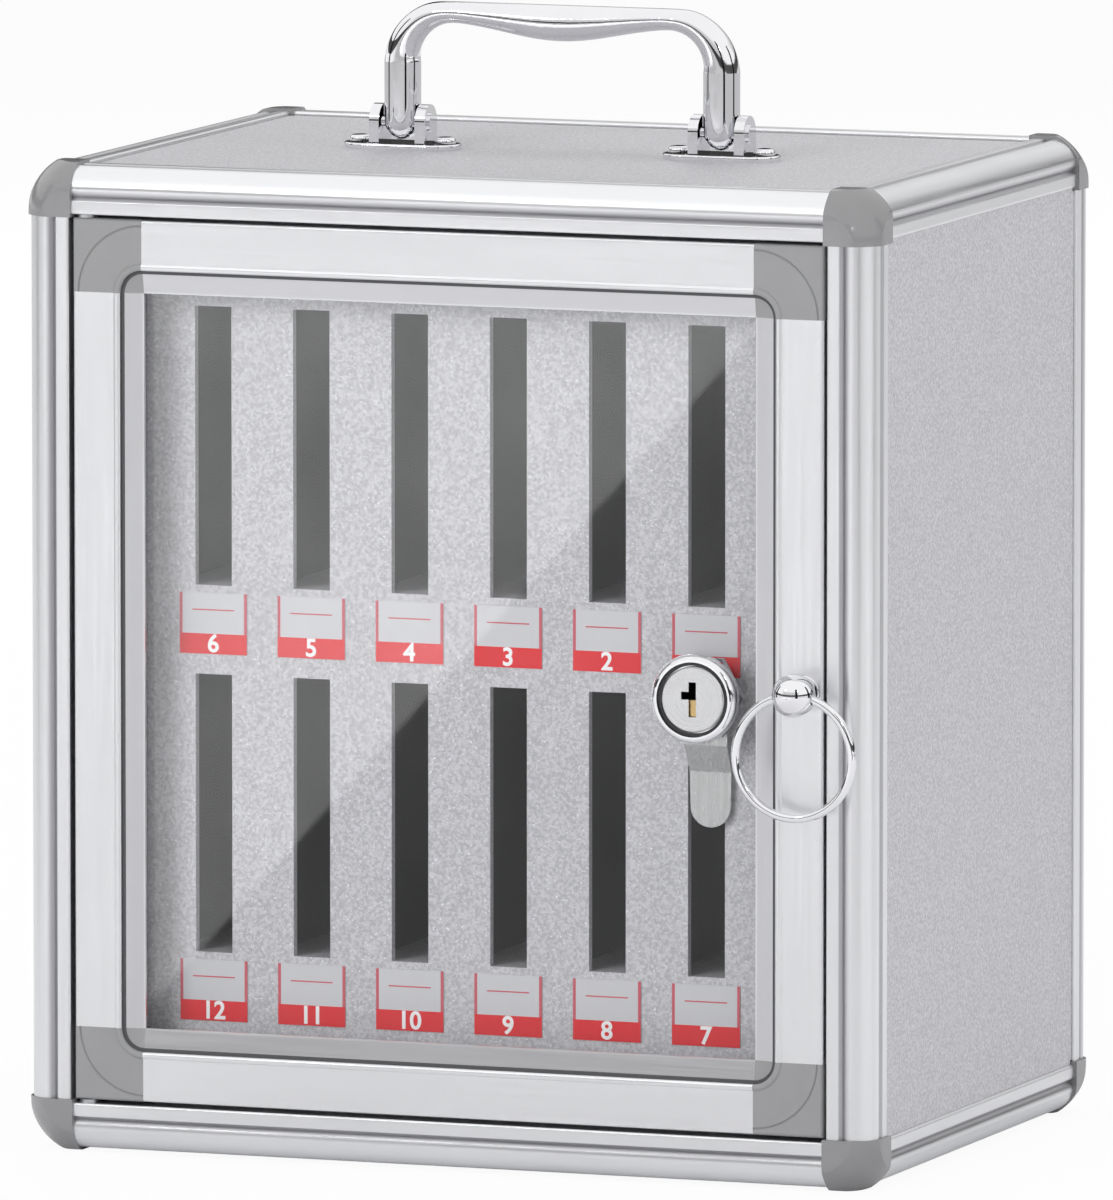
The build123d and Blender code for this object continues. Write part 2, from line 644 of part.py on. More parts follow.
with BuildPart() as lock_body:
    with BuildSketch(turning(LOCK_X, LOCK_AT, LOCK_Z)):
        with BuildLine():
            Polyline(
                (BEZEL_RIM + BEZEL_LAND, -BEZEL_RISE),
                (BEZEL_RIM, -BEZEL_RISE),
                (BEZEL_RIM, RECESS_FLOOR),
                (PLUG_RADIUS + FIT, RECESS_FLOOR),
                (PLUG_RADIUS + FIT, BARREL_LENGTH),
                (BARREL_RADIUS, BARREL_LENGTH),
                (BARREL_RADIUS, 0),
                (BEZEL_RADIUS, 0),
                (BEZEL_RADIUS, -BEZEL_EDGE),
            )
            ThreePointArc(
                (BEZEL_RADIUS, -BEZEL_EDGE),
                (
                    BEZEL_RIM + BEZEL_LAND + (BEZEL_RADIUS - BEZEL_RIM - BEZEL_LAND) * cos(radians(45)),
                    -BEZEL_EDGE - (BEZEL_RISE - BEZEL_EDGE) * sin(radians(45)),
                ),
                (BEZEL_RIM + BEZEL_LAND, -BEZEL_RISE),
            )
        make_face()
    revolve(axis=LOCK_AXIS)
keep(lock_body, "lock_body")

with BuildPart() as lock_trim_ring:
    with BuildSketch(facing(LOCK_AT + RECESS_FLOOR)):
        with Locations((LOCK_X, LOCK_Z)):
            Circle(BEZEL_RIM - FIT)
            Circle(PLUG_FACE_RADIUS + TRIM_GAP, mode=Mode.SUBTRACT)
    extrude(amount=TRIM_RISE)
keep(lock_trim_ring, "lock_trim_ring")

with BuildPart() as lock_nut:
    with BuildSketch(facing(DOOR_SETBACK + PANE_BACK)):
        with Locations((LOCK_X, LOCK_Z)):
            RegularPolygon(NUT_FLATS / 2, 6, major_radius=False)
            Circle(BARREL_RADIUS + FIT, mode=Mode.SUBTRACT)
    extrude(amount=-NUT_THICK)
keep(lock_nut, "lock_nut")

with BuildPart() as lock_plug:
    with BuildSketch(turning(LOCK_X, LOCK_AT, LOCK_Z)):
        with BuildLine():
            Polyline(
                (0, PLUG_FACE_BACK - BEZEL_RISE),
                (PLUG_FACE_RADIUS - PLUG_CHAMFER, PLUG_FACE_BACK - BEZEL_RISE),
                (PLUG_FACE_RADIUS, PLUG_FACE_BACK + PLUG_CHAMFER - BEZEL_RISE),
                (PLUG_FACE_RADIUS, RECESS_FLOOR - FIT),
                (PLUG_RADIUS, RECESS_FLOOR - FIT),
                (PLUG_RADIUS, BARREL_LENGTH + FIT),
                (0, BARREL_LENGTH + FIT),
                close=True,
            )
        make_face()
    revolve(axis=LOCK_AXIS)
    with BuildSketch(facing(LOCK_AT + TAIL_END)):
        with Locations((LOCK_X, LOCK_Z)):
            Rectangle(CAM_SQUARE, CAM_SQUARE)
    extrude(amount=TAIL_END - BARREL_LENGTH)
    with BuildSketch(facing(LOCK_AT + TAIL_END)):
        with Locations((LOCK_X, LOCK_Z)):
            Circle(CAM_SCREW_RADIUS)
    extrude(amount=CAM_SCREW_LENGTH, mode=Mode.SUBTRACT)
    with BuildSketch(facing(LOCK_AT + PLUG_FACE_BACK - BEZEL_RISE)):
        with Locations((LOCK_X, LOCK_Z)):
            Rectangle(KEYWAY_WIDTH, KEYWAY_HEIGHT)
        with Locations((LOCK_X - KEYWAY_WIDTH, LOCK_Z + KEYWAY_WIDTH / 2)):
            Rectangle(KEYWAY_WIDTH, KEYWAY_WIDTH)
    extrude(amount=-KEYWAY_DEPTH, mode=Mode.SUBTRACT)
keep(lock_plug, "lock_plug")

with BuildPart() as lock_cam:
    with BuildSketch(
        Plane(origin=(LOCK_X, FRONT_Y + LOCK_AT, LOCK_Z), x_dir=(0, 1, 0), z_dir=(1, 0, 0))
    ):
        with BuildLine():
            Polyline(
                (CAM_AT, CAM_WIDTH / 2),
                (CAM_AT, -CAM_STRAIGHT),
                (CAM_AT + CAM_SET, -CAM_STRAIGHT - CAM_CRANK),
                (CAM_AT + CAM_SET, -CAM_LENGTH),
                (CAM_AT + CAM_SET + CAM_THICK, -CAM_LENGTH),
                (CAM_AT + CAM_SET + CAM_THICK, -CAM_STRAIGHT - CAM_CRANK),
                (CAM_AT + CAM_THICK, -CAM_STRAIGHT),
                (CAM_AT + CAM_THICK, CAM_WIDTH / 2),
                close=True,
            )
        make_face()
    extrude(amount=CAM_WIDTH / 2, both=True)
    with BuildSketch(facing(LOCK_AT)):
        with BuildLine():
            tip_z = LOCK_Z - CAM_LENGTH + CAM_TIP_WIDTH / 2
            Line((LOCK_X + CAM_WIDTH / 2, LOCK_Z), (LOCK_X + CAM_TIP_WIDTH / 2, tip_z))
            ThreePointArc(
                (LOCK_X + CAM_TIP_WIDTH / 2, tip_z),
                (LOCK_X, LOCK_Z - CAM_LENGTH),
                (LOCK_X - CAM_TIP_WIDTH / 2, tip_z),
            )
            Line((LOCK_X - CAM_TIP_WIDTH / 2, tip_z), (LOCK_X - CAM_WIDTH / 2, LOCK_Z))
            ThreePointArc(
                (LOCK_X - CAM_WIDTH / 2, LOCK_Z),
                (LOCK_X, LOCK_Z + CAM_WIDTH / 2),
                (LOCK_X + CAM_WIDTH / 2, LOCK_Z),
            )
        make_face()
        with Locations((LOCK_X, LOCK_Z)):
            Rectangle(CAM_SQUARE + 2 * FIT, CAM_SQUARE + 2 * FIT, mode=Mode.SUBTRACT)
    extrude(amount=-(TAIL_END + CAM_SET), mode=Mode.INTERSECT)
keep(lock_cam, "lock_cam")

with BuildPart() as cam_screw:
    with BuildSketch(facing(LOCK_AT + TAIL_END)):
        with Locations((LOCK_X, LOCK_Z)):
            Circle(CAM_SCREW_RADIUS)
    extrude(amount=CAM_SCREW_LENGTH)
    with BuildSketch(facing(LOCK_AT + TAIL_END)):
        with Locations((LOCK_X, LOCK_Z)):
            Circle(CAM_WASHER_RADIUS)
    extrude(amount=-CAM_WASHER)
    with BuildSketch(facing(LOCK_AT + TAIL_END + CAM_WASHER)):
        with Locations((LOCK_X, LOCK_Z)):
            RegularPolygon(CAM_SCREW_FLATS / 2, 6, major_radius=False)
    extrude(amount=-CAM_SCREW_HEAD)
keep(cam_screw, "cam_screw")

# ------------------------------------------------------------ ring pull
KNOB = Vector(PULL_X, FRONT_Y + DOOR_SETBACK - KNOB_OUT, PULL_Z)
FLARE_END = KNOB_RADIUS + SEAT
FLARE_RISE = RING_RADIUS - sqrt(RING_RADIUS**2 - FLARE_END**2)

with BuildPart() as pull_knob:
    with BuildSketch(turning(PULL_X, DOOR_SETBACK, PULL_Z)) as section:
        with BuildLine():
            neck_end = sqrt(KNOB_RADIUS**2 - KNOB_NECK_RADIUS**2) - KNOB_OUT
            Polyline(
                (0, -KNOB_OUT - KNOB_RADIUS),
                (0, 0),
                (KNOB_FOOT_RADIUS, 0),
                (KNOB_FOOT_RADIUS, -KNOB_FOOT),
                (KNOB_NECK_RADIUS, -KNOB_FOOT),
                (KNOB_NECK_RADIUS, neck_end),
            )
            ThreePointArc(
                (KNOB_NECK_RADIUS, neck_end),
                (KNOB_RADIUS, -KNOB_OUT),
                (0, -KNOB_OUT - KNOB_RADIUS),
            )
        make_face()
        rim = section.vertices().sort_by_distance((KNOB_FOOT_RADIUS, -KNOB_FOOT))[0]
        fillet(rim, KNOB_FOOT / 2)
    revolve(axis=front_axis(PULL_X, PULL_Z))
    # The hole follows the ring, so it is narrow in the middle and flares to both sides.
    with BuildSketch(Plane(origin=KNOB, x_dir=(1, 0, 0), z_dir=(0, 0, 1))):
        with BuildLine():
            bore = RING_WIRE + RING_CLEAR
            ThreePointArc((-FLARE_END, bore + FLARE_RISE), (0, bore), (FLARE_END, bore + FLARE_RISE))
            Polyline(
                (FLARE_END, bore + FLARE_RISE),
                (FLARE_END, 0),
                (-FLARE_END, 0),
                (-FLARE_END, bore + FLARE_RISE),
            )
        make_face()
    revolve(axis=Axis(KNOB, (1, 0, 0)), mode=Mode.SUBTRACT)
    with BuildSketch(facing(DOOR_SETBACK)):
        with Locations((PULL_X, PULL_Z)):
            Circle(PULL_SCREW_RADIUS)
    extrude(amount=PULL_SCREW_IN_KNOB, mode=Mode.SUBTRACT)
keep(pull_knob, "pull_knob")

with BuildPart() as pull_screw:
    with BuildSketch(turning(PULL_X, DOOR_SETBACK, PULL_Z)):
        with BuildLine():
            Polyline(
                (0, -PULL_SCREW_IN_KNOB),
                (PULL_SCREW_RADIUS, -PULL_SCREW_IN_KNOB),
                (PULL_SCREW_RADIUS, DOOR_THICK - PULL_SCREW_HEAD_RADIUS + PULL_SCREW_RADIUS),
                (PULL_SCREW_HEAD_RADIUS, DOOR_THICK),
                (0, DOOR_THICK),
                close=True,
            )
        make_face()
    revolve(axis=front_axis(PULL_X, PULL_Z))
keep(pull_screw, "pull_screw")

with BuildPart() as pull_ring:
    with Locations(KNOB - Vector(0, 0, RING_RADIUS)):
        Torus(RING_RADIUS, RING_WIRE, rotation=(90, 0, 0))
keep(pull_ring, "pull_ring")

# ------------------------------------------------------------ carry handle
EAR_INNER = LEG_RADIUS + EAR_GAP
BASE_TOP_Z = PANEL_TOP_Z + BASE_THICK
NUT_FLOOR_Z = PANEL_TOP_Z - BOARD - SCREW_NUT
GRIP_TOP_Z = PANEL_TOP_Z + HANDLE_RISE
BEND_Z = GRIP_TOP_Z - GRIP_END_HALF_HEIGHT - HANDLE_BEND
GRIP_END_X = HANDLE_X - HANDLE_BEND
BEND_SECTIONS = 5
GRIP_SECTIONS = 4
SCREW_PLACES = [(x, HANDLE_Y) for x, _ in HANDLE_SCREWS]


def grip_sections():
    """Oval sections from bend to bend: x, z, direction along the bar, half height, half depth."""
    left = []
    for step in range(BEND_SECTIONS + 1):
        share = step / BEND_SECTIONS
        turn = radians(90 * share)
        x = -GRIP_END_X - HANDLE_BEND * cos(turn)
        z = BEND_Z + HANDLE_BEND * sin(turn)
        tall = LEG_RADIUS + (GRIP_END_HALF_HEIGHT - LEG_RADIUS) * share
        deep = LEG_RADIUS + (GRIP_END_HALF_THICK - LEG_RADIUS) * share
        left.append((x, z, sin(turn), cos(turn), tall, deep))
    for step in range(1, GRIP_SECTIONS + 1):
        share = step / GRIP_SECTIONS
        swell = sin(radians(90 * share)) ** 2
        tall = GRIP_END_HALF_HEIGHT + (GRIP_HALF_HEIGHT - GRIP_END_HALF_HEIGHT) * swell
        deep = GRIP_END_HALF_THICK + (GRIP_HALF_THICK - GRIP_END_HALF_THICK) * swell
        left.append((GRIP_END_X * (share - 1), GRIP_TOP_Z - tall, 1, 0, tall, deep))
    right = [(-x, z, dx, -dz, tall, deep) for x, z, dx, dz, tall, deep in left[-2::-1]]
    return left + right


with BuildPart() as carry_handle:
    for side in (-1, 1):
        with BuildSketch(
            Plane(origin=(side * HANDLE_X, HANDLE_Y, PIVOT_Z), x_dir=(1, 0, 0), z_dir=(0, -1, 0))
        ):
            with BuildLine():
                Polyline(
                    (0, -LEG_RADIUS),
                    (0, BEND_Z - PIVOT_Z),
                    (LEG_RADIUS, BEND_Z - PIVOT_Z),
                    (LEG_RADIUS, 0),
                )
                RadiusArc((LEG_RADIUS, 0), (0, -LEG_RADIUS), LEG_RADIUS)
            make_face()
        revolve(axis=Axis((side * HANDLE_X, HANDLE_Y, 0), (0, 0, 1)))
    for x, z, dx, dz, tall, deep in grip_sections():
        with BuildSketch(Plane(origin=(x, HANDLE_Y, z), x_dir=(0, 1, 0), z_dir=(dx, 0, dz))):
            Ellipse(deep, tall)
    loft()
    with Locations((-HANDLE_X, HANDLE_Y, PIVOT_Z), (HANDLE_X, HANDLE_Y, PIVOT_Z)):
        Cylinder(PIN_RADIUS + FIT, 2 * EAR_INNER, rotation=(0, 90, 0), mode=Mode.SUBTRACT)
keep(carry_handle, "carry_handle")


def handle_bracket(name, side):
    """A stadium base screwed to the top board, with two round-topped ears for the pivot pin."""
    pivot = Vector(side * HANDLE_X, HANDLE_Y, PIVOT_Z)
    with BuildPart() as bracket:
        with BuildSketch(Plane.XY.offset(PANEL_TOP_Z)):
            with Locations((pivot.X, pivot.Y)):
                SlotOverall(BASE_LENGTH, BASE_WIDTH)
                with GridLocations(SCREW_SPACING, 0, 2, 1):
                    Circle(SCREW_RADIUS + FIT, mode=Mode.SUBTRACT)
        extrude(amount=BASE_THICK)
        fillet(bracket.faces().sort_by(Axis.Z)[-1].outer_wire().edges(), BASE_EDGE)
        for hand in (-1, 1):
            inner_face = pivot + Vector(hand * EAR_INNER, 0, 0)
            with BuildSketch(Plane(origin=inner_face, x_dir=(0, hand, 0), z_dir=(hand, 0, 0))):
                Circle(EAR_HALF_WIDTH)
                Rectangle(
                    2 * EAR_HALF_WIDTH,
                    PIVOT_RISE - BASE_THICK / 2,
                    align=(Align.CENTER, Align.MAX),
                )
                Circle(PIN_RADIUS, mode=Mode.SUBTRACT)
            extrude(amount=EAR)
    keep(bracket, name)


handle_bracket("handle_bracket_left", -1)
handle_bracket("handle_bracket_right", 1)

with BuildPart() as handle_pins:
    for side in (-1, 1):
        with Locations((side * HANDLE_X, HANDLE_Y, PIVOT_Z)):
            Cylinder(PIN_RADIUS, 2 * (EAR_INNER + EAR + PIN_HEAD), rotation=(0, 90, 0))
        for hand in (-1, 1):
            head_x = side * HANDLE_X + hand * (EAR_INNER + EAR + PIN_HEAD / 2)
            with Locations((head_x, HANDLE_Y, PIVOT_Z)):
                Cylinder(PIN_HEAD_RADIUS, PIN_HEAD, rotation=(0, 90, 0))
keep(handle_pins, "handle_pins")

with BuildPart() as handle_screws:
    with BuildSketch(Plane.XY.offset(NUT_FLOOR_Z)):
        with Locations(*SCREW_PLACES):
            Circle(SCREW_RADIUS)
    extrude(amount=BASE_TOP_Z - NUT_FLOOR_Z)
    with BuildSketch(Plane.XY.offset(BASE_TOP_Z)):
        with Locations(*SCREW_PLACES):
            Circle(SCREW_HEAD_RADIUS)
    extrude(amount=SCREW_HEAD)
    fillet(handle_screws.faces().group_by(Axis.Z)[-1].edges(), SCREW_ROUND)
    with BuildSketch(Plane.XY.offset(BASE_TOP_Z + SCREW_HEAD)):
        with Locations(*SCREW_PLACES):
            Rectangle(SCREW_RECESS_WIDTH, 2 * SCREW_RECESS)
            Rectangle(2 * SCREW_RECESS, SCREW_RECESS_WIDTH)
    extrude(amount=-SCREW_RECESS_DEPTH, mode=Mode.SUBTRACT)
keep(handle_screws, "handle_screws")

with BuildPart() as handle_nuts:
    with BuildSketch(Plane.XY.offset(NUT_FLOOR_Z)):
        with Locations(*SCREW_PLACES):
            RegularPolygon(SCREW_NUT_FLATS / 2, 6, major_radius=False)
            Circle(SCREW_RADIUS, mode=Mode.SUBTRACT)
    extrude(amount=SCREW_NUT)
keep(handle_nuts, "handle_nuts")
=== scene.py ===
# %% [markdown]
# # A phone locker with a clear door
# This lesson dresses a finished model of a desk cabinet that locks away twelve phones. Its solids
# are fixed: they come with their real sizes and places, and nothing here moves them. What is left
# to do is the finish of every surface, the printed labels, the brass inside the lock, the studio
# and the camera. One unit is one metre, +Z is up, and the door faces -Y.

import json
from math import cos, pi, radians, sin

import bmesh
import bpy
from mathutils import Matrix, Vector


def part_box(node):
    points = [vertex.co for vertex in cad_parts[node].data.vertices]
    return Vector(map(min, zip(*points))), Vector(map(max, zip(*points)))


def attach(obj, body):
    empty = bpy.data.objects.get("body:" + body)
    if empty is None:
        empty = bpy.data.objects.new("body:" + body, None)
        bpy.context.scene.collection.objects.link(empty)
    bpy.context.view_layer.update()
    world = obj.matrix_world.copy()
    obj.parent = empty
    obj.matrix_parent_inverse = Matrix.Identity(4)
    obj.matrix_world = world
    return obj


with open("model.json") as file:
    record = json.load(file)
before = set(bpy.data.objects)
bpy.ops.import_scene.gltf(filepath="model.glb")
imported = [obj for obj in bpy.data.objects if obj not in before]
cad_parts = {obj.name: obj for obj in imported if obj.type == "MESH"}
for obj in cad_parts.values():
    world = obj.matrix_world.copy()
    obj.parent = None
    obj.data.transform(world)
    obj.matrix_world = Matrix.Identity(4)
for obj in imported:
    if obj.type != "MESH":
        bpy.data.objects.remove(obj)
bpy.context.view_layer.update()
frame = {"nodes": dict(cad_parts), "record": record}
nodes = frame["nodes"]
MM = 0.001

# %% [markdown]
# ## Where things are
# A script that measures the model stays right when the model changes, so the places used below are
# read from the boxes of the solids. The shell is what the twelve edge profiles enclose.

# %% Measure the cabinet
front_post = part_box("post_front_left")
rear_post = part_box("post_rear_right")
shell_low = Vector((front_post[0].x, front_post[0].y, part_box("rail_bottom_front")[0].z))
shell_high = Vector((rear_post[1].x, rear_post[1].y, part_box("rail_top_front")[1].z))
shell_middle = (shell_low + shell_high) / 2
shell_half = (shell_high - shell_low) / 2
front_y = shell_low.y
print("shell", [round(v / MM, 1) for v in shell_high - shell_low], "mm")

# %% [markdown]
# ## The camera
# The photograph was taken from far away with a long lens: the cabinet's edges stay nearly parallel.
# Its frame is 1113 by 1200 pixels and one millimetre of the front covers about 3 of them, so the
# lens follows from the distance. The angles are those that put the corners of the front and of the
# side panel where the photograph has them.

# %% Place the camera
PHOTO_LONG_SIDE = 1200
PIXELS_PER_MM = 3.03
CAMERA_DISTANCE = 7.0
CAMERA_YAW = radians(20.6)
CAMERA_PITCH = radians(6.8)
SENSOR = 36.0
aim = Vector((39.4 * MM, front_y, 193.2 * MM))

camera_data = bpy.data.cameras.new("camera")
camera_data.sensor_width = SENSOR
camera_data.lens = SENSOR * CAMERA_DISTANCE / (PHOTO_LONG_SIDE / PIXELS_PER_MM * MM)
camera_data.clip_end = 60
camera = bpy.data.objects.new("camera", camera_data)
bpy.context.scene.collection.objects.link(camera)
looking = Vector((
    -sin(CAMERA_YAW) * cos(CAMERA_PITCH),
    cos(CAMERA_YAW) * cos(CAMERA_PITCH),
    -sin(CAMERA_PITCH),
))
camera.location = aim - looking * CAMERA_DISTANCE
camera.rotation_euler = looking.to_track_quat("-Z", "Y").to_euler()
bpy.context.scene.camera = camera
bpy.context.scene.view_settings.view_transform = "Standard"
print(f"lens {camera_data.lens:.0f} mm")


# %% [markdown]
# ## Shader maths as Python
# A material is a graph of nodes. Clicking one together by hand is slow to read back, so two small
# classes let the graph be written as an expression. A Wire is the output of a node, and adding or
# multiplying wires adds a Math node. A Graph makes every other node through one method.

# %% Wires and graphs
class Wire:
    """A node's output. Arithmetic on it adds Math nodes to its graph."""

    def __init__(self, graph, socket):
        self.graph = graph
        self.socket = socket

    def math(self, operation, *others):
        values = dict(enumerate((self, *others)))
        return self.graph.node("ShaderNodeMath", {"operation": operation}, values)

    def __add__(self, other):
        return self.math("ADD", other)

    def __radd__(self, other):
        return self.math("ADD", other)

    def __sub__(self, other):
        return self.math("SUBTRACT", other)

    def __rsub__(self, other):
        return self.graph.node("ShaderNodeMath", {"operation": "SUBTRACT"}, {0: other, 1: self})

    def __mul__(self, other):
        return self.math("MULTIPLY", other)

    def __rmul__(self, other):
        return self.math("MULTIPLY", other)

    def ramp(self, start, end, low=0.0, high=1.0):
        """A smooth step from low to high as this value goes from start to end."""
        settings = {"interpolation_type": "SMOOTHSTEP"}
        values = {"Value": self, "From Min": start, "From Max": end, "To Min": low, "To Max": high}
        return self.graph.node("ShaderNodeMapRange", settings, values)


class Graph:
    """A node tree that grows by one method."""

    def __init__(self, tree):
        self.tree = tree
        self.tree.nodes.clear()

    def node(self, kind, settings=None, sockets=None, output=0):
        """Add a node, with its settings first and then its sockets' values or links."""
        made = self.tree.nodes.new(kind)
        for name, value in (settings or {}).items():
            setattr(made, name, value)
        for name, value in (sockets or {}).items():
            if isinstance(value, Wire):
                self.tree.links.new(value.socket, made.inputs[name])
            else:
                made.inputs[name].default_value = value
        return Wire(self, made.outputs[output]) if len(made.outputs) else None

    def place(self, scale=(1, 1, 1), centre=(0, 0, 0)):
        """Object coordinates from a centre, stretched by a scale."""
        here = self.node("ShaderNodeTexCoord", output="Object")
        moved = self.node("ShaderNodeVectorMath", {"operation": "SUBTRACT"}, {0: here, 1: centre})
        return self.node("ShaderNodeVectorMath", {"operation": "MULTIPLY"}, {0: moved, 1: scale})

    def axes(self, vector):
        """The three parts of a vector."""
        split = self.node("ShaderNodeSeparateXYZ", sockets={0: vector})
        return [Wire(self, output) for output in split.socket.node.outputs]

    def noise(self, where, scale, detail=2.0, roughness=0.5):
        values = {"Vector": where, "Scale": scale, "Detail": detail, "Roughness": roughness}
        return self.node("ShaderNodeTexNoise", {}, values)

    def mix(self, share, first, second):
        """A colour between two colours."""
        colours = {"Factor": share, 6: first, 7: second}
        return self.node("ShaderNodeMix", {"data_type": "RGBA"}, colours, output=2)

    def bump(self, height, depth):
        """A surface normal tilted by a height, in metres."""
        return self.node("ShaderNodeBump", {}, {"Height": height, "Distance": depth})


def rgb(red, green, blue):
    """A colour as a node wants it, with its alpha."""
    return (red, green, blue, 1.0)


finishes = {}


def finish(name):
    """Start a material under a name, with an empty graph."""
    material = bpy.data.materials.new(name)
    material.use_nodes = True
    finishes[name] = material
    return Graph(material.node_tree)


def surface(graph, **sockets):
    """End a material with one Principled shader."""
    values = {
        name.replace("_", " ").title().replace("Ior", "IOR"): value for name, value in sockets.items()
    }
    shader = graph.node("ShaderNodeBsdfPrincipled", {}, values)
    graph.node("ShaderNodeOutputMaterial", {}, {"Surface": shader})


print("shader helpers ready")

# %% [markdown]
# ## Anodised extrusions
# The edge profiles and the door bars are drawn aluminium with a satin, almost white anodised skin.
# The press leaves faint lines along the bar, so the noise is stretched along each bar: one material
# is made for each of the three directions. The grooves beside the round get painted shade: the base
# colour is darkened there to stand in for the shadow in them. Its place follows from the shell:
# along a profile, the middle one of a point's three distances to the shell's faces is how far it is
# from the rounded edge. On the door, the slope from the face down to the pane gets painted shade as
# a darker base colour too, and its distance is counted from the window's edge.

# %% Anodised aluminium
GROOVE_FROM = 9.0 * MM
GROOVE_TO = 11.6 * MM
GROOVE_FADE_IN = 0.6 * MM
GROOVE_FADE_OUT = (0.1 * MM, 0.3 * MM)
SHOULDER = 1.6 * MM
LEDGE_WIDTH = 6.5 * MM
LEDGE_END = 0.5 * MM
LEDGE_START = 0.9 * MM
LEDGE_START_SHARE = 0.2
LINES_PER_METRE = 1400.0
STRETCH_ALONG = 0.012

window_low = Vector((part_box("door_stile_hinge")[1].x, 0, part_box("door_rail_bottom")[1].z))
window_high = Vector((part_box("door_stile_lock")[0].x, 0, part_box("door_rail_top")[0].z))
window_middle = (window_low + window_high) / 2
window_half = (window_high - window_low) / 2


def distances_from(graph, centre):
    """How far a point is from a centre, along each axis."""
    where = graph.place(centre=centre)
    return graph.axes(graph.node("ShaderNodeVectorMath", {"operation": "ABSOLUTE"}, {0: where}))


def extrusion(name, along, paint_groove_shade):
    """Satin aluminium with press lines along one axis, and painted shade in grooves or by the pane.
    """
    graph = finish(name)
    stretch = [STRETCH_ALONG if axis == along else 1.0 for axis in "xyz"]
    lines = graph.noise(graph.place(stretch), LINES_PER_METRE, detail=3.0)
    clouds = graph.noise(graph.place(), 18.0)
    skin = graph.mix(clouds, rgb(0.83, 0.835, 0.85), rgb(0.88, 0.885, 0.90))
    if paint_groove_shade:
        parts = distances_from(graph, shell_middle)
        dx, dy, dz = [half - part for half, part in zip(shell_half, parts)]
        nearer, farther = dx.math("MINIMUM", dy), dx.math("MAXIMUM", dy)
        across = nearer.math("MAXIMUM", farther.math("MINIMUM", dz))
        past, before = GROOVE_FADE_OUT
        # Painted shade: the base colour darkens across the grooves and their shoulder, where shadow
        # falls.
        groove_shade = across.ramp(GROOVE_FROM - SHOULDER, GROOVE_FROM + GROOVE_FADE_IN)
        groove_shade = groove_shade * across.ramp(GROOVE_TO + past, GROOVE_TO - before)
        skin = graph.mix(groove_shade, skin, rgb(0.50, 0.50, 0.52))
    else:
        out_x, _, out_z = distances_from(graph, window_middle)
        outward = (out_x - window_half.x).math("MAXIMUM", out_z - window_half.z)
        # Painted shade: the slope from the door's face to the pane gets a darker base colour.
        ledge_shade = outward.ramp(LEDGE_WIDTH + LEDGE_END, LEDGE_WIDTH)
        ledge_shade = ledge_shade * outward.ramp(0.0, LEDGE_START, LEDGE_START_SHARE, 1.0)
        skin = graph.mix(ledge_shade, skin, rgb(0.66, 0.66, 0.68))
    surface(
        graph,
        base_color=skin,
        metallic=1.0,
        roughness=lines.ramp(0.3, 0.7, 0.30, 0.40),
        normal=graph.bump(lines, 0.012 * MM),
    )


for direction in "xyz":
    extrusion(f"cabinet_bar_along_{direction}", direction, paint_groove_shade=True)
for direction in "xz":
    extrusion(f"door_bar_along_{direction}", direction, paint_groove_shade=False)
print(len(finishes), "aluminium finishes")


# %% [markdown]
# ## Moulded grey plastic
# The corner caps and the door connectors are moulded. A mould leaves a very fine orange peel and a
# slightly uneven gloss, and the caps carry small bright highlights, which a thin coat gives.

# %% Moulded plastic
def moulded(name, dark, light, gloss, coat):
    """Semi-matt plastic with a fine peel and faint clouds."""
    graph = finish(name)
    peel = graph.noise(graph.place(), 1600.0, detail=3.0)
    clouds = graph.noise(graph.place(), 90.0, detail=3.0)
    surface(
        graph,
        base_color=graph.mix(clouds, rgb(*dark), rgb(*light)),
        roughness=clouds.ramp(0.3, 0.7, gloss, gloss + 0.1),
        coat_weight=coat,
        coat_roughness=0.12,
        normal=graph.bump(peel, 0.02 * MM),
    )


moulded("cap_plastic", (0.19, 0.19, 0.195), (0.235, 0.235, 0.24), gloss=0.36, coat=0.8)
moulded("connector_plastic", (0.245, 0.245, 0.25), (0.28, 0.28, 0.285), gloss=0.45, coat=0.1)
moulded("cleat_plastic", (0.04, 0.04, 0.045), (0.06, 0.06, 0.065), gloss=0.5, coat=0.0)
print("moulded plastic")

# %% [markdown]
# ## Frosted silver board
# The boards are faced with a silver film that has a fine frosted grain: each grain tilts the
# surface a little and is a touch lighter or darker than the next. Two noises make it, one for the
# grains, about a millimetre wide, and one for the sparse bright specks. The dividers deep inside
# are given the film in near black as painted shade, so that the slots look nearly black.

# %% Silver board
def film(name, dark, light, speck):
    """Frosted film: grains between two tones, and sparse bright specks."""
    graph = finish(name)
    grain = graph.noise(graph.place(), 950.0, detail=3.0, roughness=0.6)
    specks = graph.noise(graph.place(), 1500.0, detail=1.0)
    colour = graph.mix(grain.ramp(0.36, 0.64), rgb(*dark), rgb(*light))
    colour = graph.mix(specks.ramp(0.66, 0.76), colour, rgb(*speck))
    surface(
        graph,
        base_color=colour,
        metallic=0.0,
        specular_ior_level=0.25,
        roughness=grain.ramp(0.3, 0.7, 0.46, 0.62),
        normal=graph.bump(grain, 0.16 * MM),
    )


film("silver_board", (0.425, 0.42, 0.44), (0.585, 0.58, 0.605), (0.84, 0.84, 0.87))
# Painted shade: the dividers' near-black film stands in for the shadow inside the slots.
film("painted_shade_board", (0.075, 0.075, 0.075), (0.10, 0.10, 0.10), (0.14, 0.14, 0.14))
print("silver board and its dark lining")


# %% [markdown]
# ## Plain metals
# The parts that a user hardly sees are left as the mill or the plating bath made them: rolled
# aluminium with streaks, zinc-plated steel with small crystals, and the cam's satin nickel.

